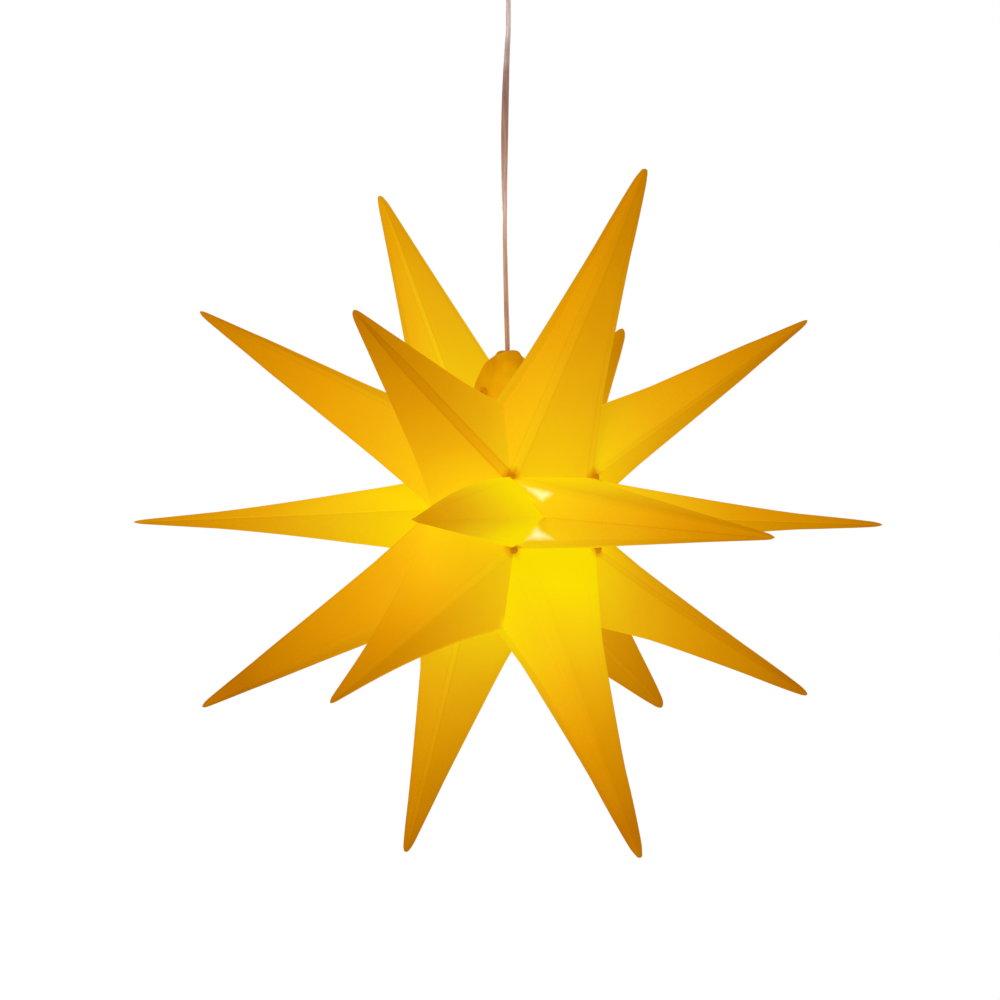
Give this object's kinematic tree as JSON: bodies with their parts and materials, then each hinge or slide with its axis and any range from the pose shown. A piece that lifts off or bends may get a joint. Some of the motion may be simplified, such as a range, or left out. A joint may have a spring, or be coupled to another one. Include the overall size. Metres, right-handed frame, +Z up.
{
  "type": "pendant star light",
  "caption": "pendant star light: long hollow film points opened out round a fold spine and a small screw lamp, on a flat twin cord from a ceiling cup",
  "frame": {"origin": "middle of the mounting plate's top face, on the ceiling", "axes": "+Z up out of the ceiling face, X along the fold spine of the film star with the near points at -X, -Y the front of the star"},
  "size_m": [0.4599, 0.5723, 0.6998],
  "materials": {
    "film": "thin yellow film, satin, lit from inside",
    "tab_film": "doubled amber film, satin",
    "rivet": "moulded amber plastic",
    "stud": "moulded press stud, dark amber",
    "white_plastic": "moulded white plastic, light gloss",
    "cream_plastic": "heat resistant cream plastic",
    "clear_block": "milky terminal plastic",
    "brass": "drawn and turned brass",
    "zinc_steel": "zinc plated steel, pressed",
    "nickel": "nickel plated shell",
    "black_glass": "black insulating glass",
    "globe_white": "opal diffusing globe, lit",
    "board": "white coated aluminium board",
    "chip": "yellow phosphor chips",
    "cord_copper": "clear sheath over copper strands"
  },
  "bodies": {
    "ceiling": {"ceiling_plate": "zinc_steel", "cord_bracket": "zinc_steel", "terminal_block": "clear_block", "terminal_sleeves": "brass", "terminal_screws": "zinc_steel", "cord_stop": "white_plastic", "stop_screw": "zinc_steel", "lead_cord": "cord_copper"},
    "cup": {"ceiling_cup": "white_plastic", "cup_screw": "zinc_steel"},
    "cord_bend": {"bend_cord": "cord_copper"},
    "cord": {"hanging_cord": "cord_copper"},
    "lamp": {"holder_skirt": "white_plastic", "holder_cap": "white_plastic", "cord_grip": "white_plastic", "shade_ring": "white_plastic", "contact_insert": "cream_plastic", "holder_screws": "brass", "side_contact": "brass", "centre_contact": "brass", "closing_tab_front": "tab_film", "closing_tab_back": "tab_film", "stud_caps": "stud", "stud_sockets": "stud", "leaf_front": "film", "leaf_upper_front": "film", "leaf_upper_back": "film", "leaf_back": "film", "leaf_lower_back": "film", "leaf_lower_front": "film", "corner_rivets": "rivet", "spine_rivets": "rivet"},
    "bulb_cap": {"lamp_shell": "nickel", "lamp_insulator": "black_glass", "lamp_button": "brass"},
    "bulb": {"lamp_body": "white_plastic", "lamp_globe": "globe_white", "lamp_board": "board", "lamp_chips": "chip"}
  },
  "joints": [
    {"name": "cup_slide", "type": "slide", "parent": "ceiling", "child": "cup", "axis": [0, 0, -1], "range_m": [0, 0.03]},
    {"name": "swing_front", "type": "hinge", "parent": "ceiling", "child": "cord_bend", "pos_m": [0, 0, -0.07735], "axis": [1, 0, 0], "range_deg": [-15, 15]},
    {"name": "swing_side", "type": "hinge", "parent": "cord_bend", "child": "cord", "pos_m": [0, 0, -0.09025], "axis": [0, 1, 0], "range_deg": [-15, 15]},
    {"name": "star_turn", "type": "hinge", "parent": "cord", "child": "lamp", "pos_m": [0, 0, -0.335], "axis": [0, 0, 1], "range_deg": [-180, 180]},
    {"name": "bulb_travel", "type": "slide", "parent": "lamp", "child": "bulb_cap", "axis": [0, 0, -1], "range_m": [0, 0.00706]},
    {"name": "bulb_turn", "type": "hinge", "parent": "bulb_cap", "child": "bulb", "pos_m": [0, 0, -0.4], "axis": [0, 0, 1], "range_deg": [0, 900]}
  ],
  "couplings": [
    {"joint": "bulb_travel", "follows": "bulb_turn", "m_per_rad": 0.00044913}
  ]
}
